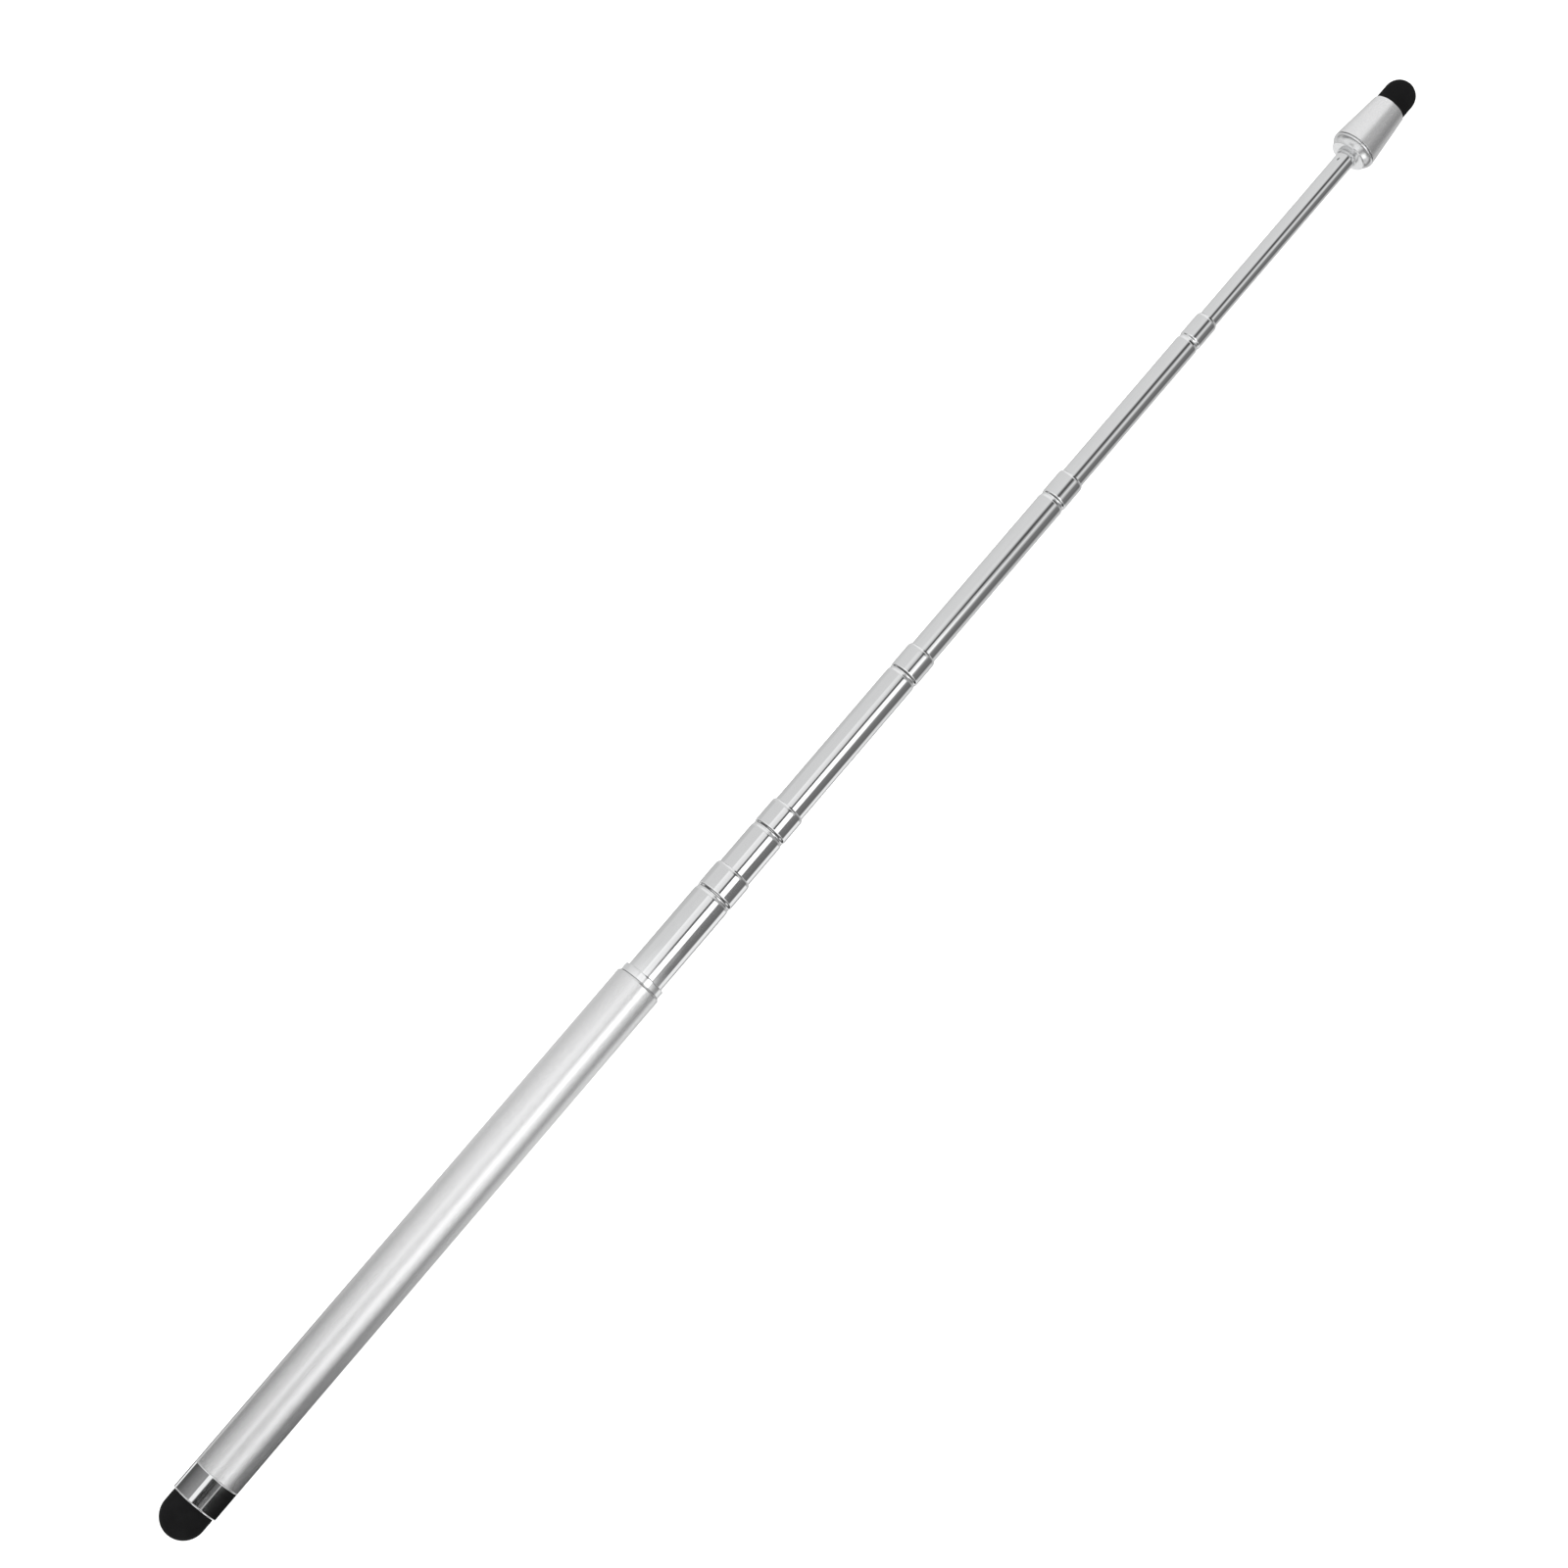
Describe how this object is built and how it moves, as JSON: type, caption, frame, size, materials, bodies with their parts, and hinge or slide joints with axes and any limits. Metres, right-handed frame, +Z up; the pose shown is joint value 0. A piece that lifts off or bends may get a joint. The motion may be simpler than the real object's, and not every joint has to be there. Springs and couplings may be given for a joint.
{
  "type": "telescoping stylus pointer",
  "caption": "Slim satin metal handle with telescoping chromed tubes, a tapered head and a rubber stylus dome at each end.",
  "frame": {"origin": "on the surface the pen lies on, under the middle of its drawn-out length", "axes": "+X along the pen from the large rubber tip to the small one, +Z up, the barrel's lowest flat on z = 0"},
  "size_m": [0.383, 0.01, 0.01],
  "materials": {
    "satin_barrel": "fine satin, softly bright along the barrel",
    "polished_chrome": "polished chrome plating",
    "black_rubber": "matte black silicone rubber",
    "turned_brass": "plain turned brass, hidden inside",
    "spring_bronze": "thin rolled spring bronze, hidden inside"
  },
  "bodies": {
    "handle": {"barrel": "satin_barrel", "mouth_collar": "polished_chrome", "ferrule": "polished_chrome", "large_tip": "black_rubber", "large_tip_core": "turned_brass"},
    "spring_1": {"friction_spring_1": "spring_bronze"},
    "section_1": {"section_tube_1": "polished_chrome", "stop_ring_1": "turned_brass"},
    "spring_2": {"friction_spring_2": "spring_bronze"},
    "section_2": {"section_tube_2": "polished_chrome", "stop_ring_2": "turned_brass"},
    "spring_3": {"friction_spring_3": "spring_bronze"},
    "section_3": {"section_tube_3": "polished_chrome", "stop_ring_3": "turned_brass"},
    "spring_4": {"friction_spring_4": "spring_bronze"},
    "section_4": {"section_tube_4": "polished_chrome", "stop_ring_4": "turned_brass"},
    "spring_5": {"friction_spring_5": "spring_bronze"},
    "section_5": {"section_tube_5": "polished_chrome", "stop_ring_5": "turned_brass"},
    "spring_6": {"friction_spring_6": "spring_bronze"},
    "section_6": {"section_tube_6": "polished_chrome", "stop_ring_6": "turned_brass", "head_boss": "polished_chrome", "head_cone": "satin_barrel", "small_tip": "black_rubber", "small_tip_core": "turned_brass"}
  },
  "joints": [
    {"name": "slide_1", "type": "slide", "parent": "handle", "child": "spring_1", "axis": [1, 0, 0], "range_m": [-0.02595, 0.02305]},
    {"name": "twist_1", "type": "hinge", "parent": "spring_1", "child": "section_1", "pos_m": [0, 0, 0.005], "axis": [1, 0, 0], "continuous": true},
    {"name": "slide_2", "type": "slide", "parent": "section_1", "child": "spring_2", "axis": [1, 0, 0], "range_m": [-0.0157, 0.0333]},
    {"name": "twist_2", "type": "hinge", "parent": "spring_2", "child": "section_2", "pos_m": [0, 0, 0.005], "axis": [1, 0, 0], "continuous": true},
    {"name": "slide_3", "type": "slide", "parent": "section_2", "child": "spring_3", "axis": [1, 0, 0], "range_m": [-0.0407, 0.0083]},
    {"name": "twist_3", "type": "hinge", "parent": "spring_3", "child": "section_3", "pos_m": [0, 0, 0.005], "axis": [1, 0, 0], "continuous": true},
    {"name": "slide_4", "type": "slide", "parent": "section_3", "child": "spring_4", "axis": [1, 0, 0], "range_m": [-0.0467, 0.0023]},
    {"name": "twist_4", "type": "hinge", "parent": "spring_4", "child": "section_4", "pos_m": [0, 0, 0.005], "axis": [1, 0, 0], "continuous": true},
    {"name": "slide_5", "type": "slide", "parent": "section_4", "child": "spring_5", "axis": [1, 0, 0], "range_m": [-0.0437, 0.0053]},
    {"name": "twist_5", "type": "hinge", "parent": "spring_5", "child": "section_5", "pos_m": [0, 0, 0.005], "axis": [1, 0, 0], "continuous": true},
    {"name": "slide_6", "type": "slide", "parent": "section_5", "child": "spring_6", "axis": [1, 0, 0], "range_m": [-0.0464, 0.0026]},
    {"name": "twist_6", "type": "hinge", "parent": "spring_6", "child": "section_6", "pos_m": [0, 0, 0.005], "axis": [1, 0, 0], "continuous": true}
  ]
}
